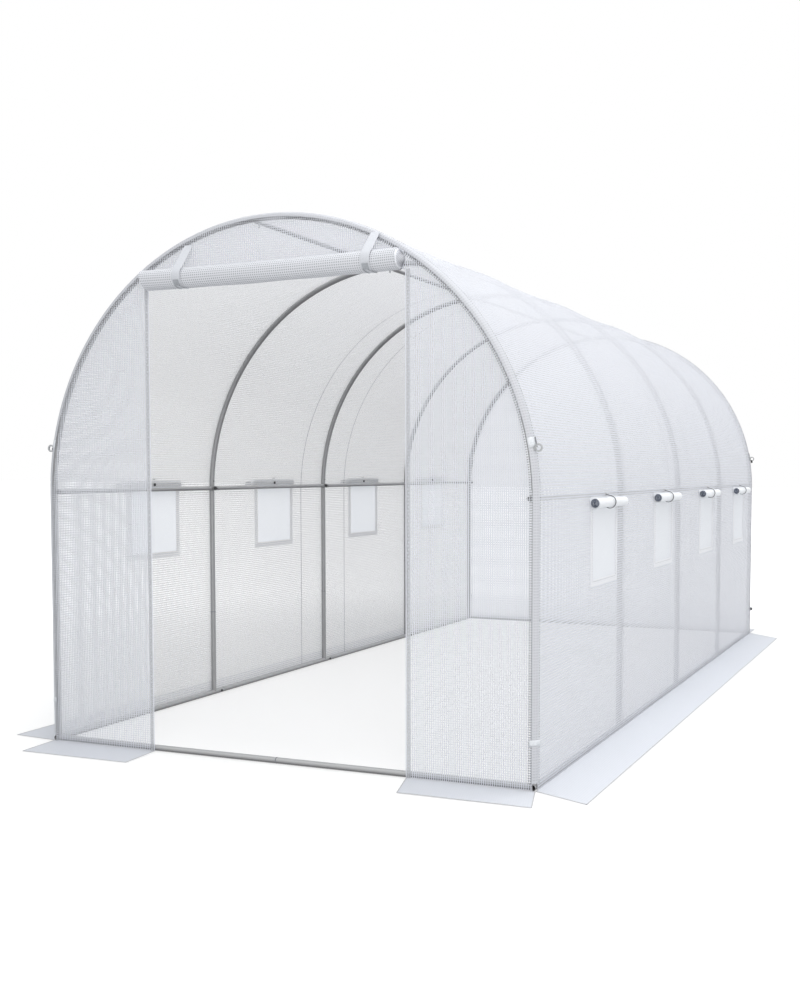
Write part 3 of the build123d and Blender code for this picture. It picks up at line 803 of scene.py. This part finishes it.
# Rolled-up door, its straps and the zips beside the doorway
def make_door():
    low, high = corners("door_roll")
    outer = (high.y - low.y) / 2 - 0.001
    axis_z = low.z + outer + 0.001
    width = high.x - low.x
    mid_x = (low.x + high.x) / 2

    def place(along, out, up):
        sag = DOOR_ROLL_SAG * max(0.0, 1 - (2 * along / width) ** 2) if up < outer else 0.0
        wave = noise.noise(Vector((along * 6, out * 30, up * 30))) * 0.0015
        tilt = DOOR_ROLL_TILT * along / width
        return Vector((mid_x + along, high.y - 0.001 - out - wave, axis_z + up - sag + wave + tilt))

    def slip(share, wound, point):
        if share > 0:
            return DOOR_END_SLIP * share ** 5 * (wound - 0.5)
        return DOOR_END_SLIP * share ** 4 * (0.5 - point[1] / outer / 2)

    mesh = rolled(outer, DOOR_DROP, high.z - axis_z, width, place, slip, 0.03)
    roll = add_piece("rolled_door", mesh, door_film_painted_shade)
    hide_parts("door_roll")
    caps = []
    dish = [(outer * 0.93, 0), (outer * 0.86, 0.006), (outer * 0.5, 0.009), (outer * 0.2, 0.010), (0, 0.010)]
    for end, setback in DOOR_CAPS:
        at = place(end * (width / 2 - setback), outer, 0)
        caps.append(placed(lathe(dish, 28), at, (end, 0, 0)))
    add_piece("rolled_door_ends", join(caps), end_grey)
    straps, buckles = [], []
    for strap_low, strap_high in solids("door_straps"):
        x = (strap_low.x + strap_high.x) / 2
        half = (strap_high.x - strap_low.x) / 2
        around = outer + STRAP_THICK
        tilt = DOOR_ROLL_TILT * (x - mid_x) / width
        path = strap_path(around, around, strap_high.z - axis_z - tilt, pi)

        def on_roll(across, point, x=x, tilt=tilt):
            return Vector((x + across, front_face - 0.0012 - point[0], axis_z + tilt + point[1]))

        straps.append(path_sheet((-half, half), path, on_roll))
        low_front = [(around + around * cos(turn), around * sin(turn)) for turn in BUCKLE_TURNS]
        buckles.append(path_sheet(
            (-half * 0.62, half * 0.62), low_front,
            lambda across, point: on_roll(across, point) + Vector((0, -0.0010, -0.0006)), thickness=0.0016,
        ))
        under = [(around + around * cos(turn), around * sin(turn)) for turn in CORD_TURNS]
        for shift, lean in ((-half * 0.7, 0.010), (half * 0.2, 0.022)):
            cord = [(shift + lean * i / 3, point) for i, point in enumerate(under)]
            buckles.append(path_sheet(
                (-CORD_HALF, CORD_HALF), [(across, *point) for across, point in cord],
                lambda wide, point: on_roll(point[0] + wide, point[1:]) + Vector((0, -0.0010, -0.0008)),
                thickness=0.0012,
            ))
    piece = add_piece("roll_straps", join(straps), webbing)
    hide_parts("door_straps")
    add_piece("strap_buckles", join(buckles), buckle_grey, smooth=False)


def make_zips():
    tapes, teeth = [], []
    for low, high in solids("door_zips"):
        mid = (low.x + high.x) / 2
        tapes.append(grid_sheet(
            stations(low.x, high.x, 0.003), stations(low.z, high.z, 0.1),
            lambda x, z: Vector((x, low.y + 0.0008 - 0.0006 * cos((x - mid) * 600), z)),
        ))
        for i in range(int((high.z - low.z) / ZIP_PITCH)):
            tooth = block(ZIP_TOOTH, 0.0006)
            aside = ZIP_STAGGER if i % 2 else -ZIP_STAGGER
            tooth.transform(Matrix.Translation((mid + aside, low.y + 0.0004, low.z + ZIP_PITCH * (i + 0.2))))
            teeth.append(tooth)
    tape = add_piece("zip_tapes", join(tapes), tape_film)
    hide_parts("door_zips")
    add_piece("zip_teeth", join(teeth), zip_tooth, smooth=False)


make_door()
make_zips()


# Ground flaps: the film turned out on the ground, a little wavy at its free edge
def make_flap(word, holder):
    node = word + "_ground_flap"
    low, high = corners(node)
    axis = 1 if high.x - low.x > high.y - low.y else 0
    outward = 1 if low[axis] + high[axis] > 0 else -1
    inner = low[axis] if outward > 0 else high[axis]
    reach = high[axis] - low[axis]

    spots = [v.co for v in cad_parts[node].data.vertices]

    def ends(at):
        line = [spot[1 - axis] for spot in spots if abs(spot[axis] - at) < 1e-4]
        return min(line), max(line)

    sewn, loose = ends(inner), ends(inner + outward * reach)
    length = sewn[1] - sewn[0]

    def place(out, along, lift=0.0):
        free = out / reach
        start = sewn[0] + (loose[0] - sewn[0]) * free
        end = sewn[1] + (loose[1] - sewn[1]) * free
        spot = Vector((0, 0, 0))
        spot[axis] = inner + outward * out
        spot[1 - axis] = start + (end - start) * along / length
        wave = noise.noise(Vector((spot.x * 4, spot.y * 2.2, 3.1)))
        spot.z = FLAP_LIFT + lift + max(0.0, wave) * FLAP_WAVE * free
        return spot

    outs, alongs = stations(0, reach, FLAP_STEP), stations(0, length, FLAP_STEP)
    mesh = grid_sheet(outs, alongs, place)
    area = sum(face.calc_area() for face in mesh.faces)
    flap = add_piece(node + "_film", mesh, flap_film)
    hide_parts(node)
    # grey strips along the flaps' free edges: painted shade of the film's edge on the floor
    strips = [
        grid_sheet(rows, columns, lambda u, v: place(u, v, 0.0006))
        for rows, columns in (
            ((reach - EDGE_WIDTH, reach), alongs), (outs, (0, EDGE_WIDTH)), (outs, (length - EDGE_WIDTH, length)),
        )
    ]
    add_piece(node + "_edge", join(strips), grey_and_edge_shade, smooth=False)


for word, holder in (
    ("left", "left_base_rail"), ("right", "right_base_rail"), ("front_left", "front_sill"),
    ("front_right", "front_sill"), ("back", "back_sill"),
):
    make_flap(word, holder)


# Steel frame: the modelled tubes keep their shape and get their finish, with painted shade that darkens their
# undersides
def finish_nodes():
    for name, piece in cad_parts.items():
        if name.endswith("hoop") or "rail" in name or "sill" in name or name == "ridge_bar":
            piece.data.materials.clear()
            piece.data.materials.append(steel_painted_shade)
        elif "eyes" in name:
            piece.data.materials.clear()
            piece.data.materials.append(zinc)


# Bolts and hand nuts where the tie bars and base rails meet the hoops
def make_fixings():
    bolts, knobs = [], []
    rail = middle("left_side_rail")
    rise = rail.z - spring_z
    inside = hoop_inside - TAB
    ridge = middle("ridge_bar")
    ridge_out = Vector((ridge.x, 0, ridge.z - spring_z)).normalized()
    for y in hoop_ys:
        for sign in SIDES.values():
            out = Vector((sign * (inside ** 2 - rise ** 2) ** 0.5, 0, rise)).normalized()
            place = Vector((0, y, spring_z)) + out * inside
            knobs.append(placed(wing_knob(), place, -out))
            rivet = Vector((sign * (hoop_inside - 0.0003), y, rail.z + RIVET_RISE))
            knobs.append(placed(lathe(RIVET, 14), rivet, (-sign, 0, 0)))
            if abs(y) < back_y - 0.1:
                foot = Vector((sign * (hoop_inside - 0.0003), y + BOLT_SETBACK, tube_d / 2))
                knobs.append(placed(bolt(0.004, 0.004, 0.002), foot, (-sign, 0, 0)))
        bolts.append(placed(bolt(BOLT_HEAD, 0.006, 0.014), Vector((0, y, spring_z)) + ridge_out * inside, -ridge_out))
    rings = []
    ring = tube_d / 2 + 0.0003
    band = [(ring, -JOINT_GAP / 2), (ring + 0.0002, 0), (ring, JOINT_GAP / 2)]
    for y in hoop_ys:
        for sign in SIDES.values():
            joint = Vector((sign * (hoop_inside + tube_d / 2), y, LEG_JOINT))
            rings.append(placed(lathe(band), joint, (0, 0, 1)))
    for sill in ("front_sill", "back_sill"):
        rings.append(placed(lathe(band), middle(sill), (1, 0, 0)))
    add_piece("tube_joints", join(rings), thread_grey)
    add_piece("frame_bolts", join(bolts), zinc, smooth=False)
    add_piece("hand_nuts", join(knobs), black_plastic, smooth=False)


# Clips that hold the cover on the end hoops
def make_clips(name, face_y, outward):
    place = corner_place(face_y, outward)
    eye_z = middle(name + "_guy_eyes").z
    low_z = middle(name + "_cover_buttons").z
    eye_clips, low_clips, bars, knobs = [], [], [], []
    for sign in SIDES.values():
        s = height_to_s(sign, eye_z + CLIP_RISE)
        ss = stations(s - CLIP_TALL / 2, s + CLIP_TALL / 2, 0.01)
        eye_clips.append(path_sheet(ss, corner_path(HEM_FACE, CLIP_SIDE, CLIP_LIFT), place, thickness=0.0015))
        rear = [(-CLIP_LIFT - 0.0016, CLIP_SIDE - CLIP_BAR), (-CLIP_LIFT - 0.0016, CLIP_SIDE)]
        bars.append(path_sheet(ss, rear, place, thickness=0.0012))
        s = height_to_s(sign, low_z)
        ss = stations(s - CLIP_TALL * 0.3, s + CLIP_TALL * 0.3, 0.006)
        over = corner_path(corner_r, corner_r, CLIP_LIFT)[1:-1]
        near, far = corner_r + EAR * 0.4, corner_r + EAR * 1.2
        path = [(far, -EAR), (near, -EAR_STEP), *over, (-EAR_STEP, near), (-EAR, far)]
        low_clips.append(path_sheet(ss, path, place, thickness=0.0018))
    add_piece(name + "_guy_clips", join(eye_clips), clip_plastic)
    if outward > 0:
        for sign in SIDES.values():
            for z in (eye_z - CLIP_RISE, low_z):
                at, out = arch_frame(height_to_s(sign, z))
                at = Vector((at.x, face_y - corner_r, at.z)) + out * (3 * LIFT + 0.002)
                knobs.append(placed(lathe(CLIP_KNOB), at, out))
        add_piece(name + "_clip_knobs", join(knobs), black_plastic)
    add_piece(name + "_clip_bars", join(bars), thread_grey, smooth=False)
    clips = add_piece(name + "_low_clips", join(low_clips), clip_plastic)
    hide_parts(name + "_cover_buttons")


finish_nodes()
make_fixings()
make_clips("front", front_face, -1)
make_clips("back", back_face, 1)


# Floor, light and camera
def seen_directly(nodes, links):
    """1 for rays that show the surroundings: from the camera, mirrored or through clear things."""
    path = nodes.new("ShaderNodeLightPath")
    seen = math_node(nodes, links, "MAXIMUM", path.outputs["Is Camera Ray"], path.outputs["Is Glossy Ray"])
    return math_node(nodes, links, "MAXIMUM", seen, path.outputs["Is Transmission Ray"])


def make_stage():
    floor_mesh = bpy.data.meshes.new("floor")
    square = [(x * FLOOR_HALF, y * FLOOR_HALF, 0) for x, y in ((-1, -1), (1, -1), (1, 1), (-1, 1))]
    floor_mesh.from_pydata(square, [], [(0, 1, 2, 3)])
    floor = bpy.data.objects.new("floor", floor_mesh)
    bpy.context.scene.collection.objects.link(floor)
    floor.location.z = -FLOOR_DROP
    material, nodes, links, out = new_material("floor_white")
    plain = nodes.new("ShaderNodeBsdfDiffuse")
    plain.inputs["Color"].default_value = FLOOR_PLAIN
    shade = nodes.new("ShaderNodeBsdfDiffuse")
    shade.inputs["Color"].default_value = FLOOR_SHADE
    glow = nodes.new("ShaderNodeEmission")
    place = nodes.new("ShaderNodeTexCoord")
    away = nodes.new("ShaderNodeVectorMath")
    away.operation = "LENGTH"
    links.new(place.outputs["Object"], away.inputs[0])
    spread = span_node(nodes, links, away.outputs["Value"], *FLOOR_GLOW, smooth=FLOOR_GLOW_REACH)
    links.new(spread, glow.inputs["Strength"])
    both = nodes.new("ShaderNodeAddShader")
    links.new(shade.outputs[0], both.inputs[0])
    links.new(glow.outputs[0], both.inputs[1])
    links.new(mix_shader(nodes, links, seen_directly(nodes, links), plain.outputs[0], both.outputs[0]), out.inputs[0])
    floor_mesh.materials.append(material)

    world = bpy.data.worlds.new("studio")
    bpy.context.scene.world = world
    world.use_nodes = True
    nodes, links = world.node_tree.nodes, world.node_tree.links
    nodes.clear()
    out = nodes.new("ShaderNodeOutputWorld")
    soft = nodes.new("ShaderNodeBackground")
    soft.inputs["Color"].default_value = WORLD_TINT
    soft.inputs["Strength"].default_value = WORLD_STRENGTH
    white = nodes.new("ShaderNodeBackground")
    white.inputs["Color"].default_value = (1, 1, 1, 1)
    links.new(mix_shader(nodes, links, seen_directly(nodes, links), soft.outputs[0], white.outputs[0]), out.inputs[0])

    for name, place, size, power, tint in LAMPS:
        lamp = bpy.data.lights.new(name, "AREA")
        lamp.size = size
        lamp.energy = power
        lamp.color = tint
        holder = bpy.data.objects.new(name, lamp)
        holder.location = place
        holder.rotation_euler = (LAMP_AIM - Vector(place)).to_track_quat("-Z", "Y").to_euler()
        bpy.context.scene.collection.objects.link(holder)


def make_camera():
    data = bpy.data.cameras.new("photo")
    data.sensor_width = SENSOR * 1000
    data.lens = FOCAL_PIXELS / IMAGE_H * data.sensor_width
    data.shift_x = (IMAGE_W / 2 - AXIS_PIXEL[0]) / IMAGE_H
    data.shift_y = (AXIS_PIXEL[1] - IMAGE_H / 2) / IMAGE_H
    camera = bpy.data.objects.new("photo", data)
    level = cos(CAMERA_PITCH)
    forward = Vector((sin(CAMERA_YAW) * level, cos(CAMERA_YAW) * level, sin(CAMERA_PITCH)))
    right = forward.cross(Vector((0, 0, 1))).normalized()
    up = right.cross(forward)
    right, up = right * cos(CAMERA_ROLL) + up * sin(CAMERA_ROLL), up * cos(CAMERA_ROLL) - right * sin(CAMERA_ROLL)
    camera.location = CAMERA_PLACE
    camera.rotation_euler = Matrix((right, up, -forward)).transposed().to_euler()
    bpy.context.scene.collection.objects.link(camera)
    bpy.context.scene.camera = camera


make_stage()
make_camera()
bpy.context.scene.view_settings.view_transform = "Standard"
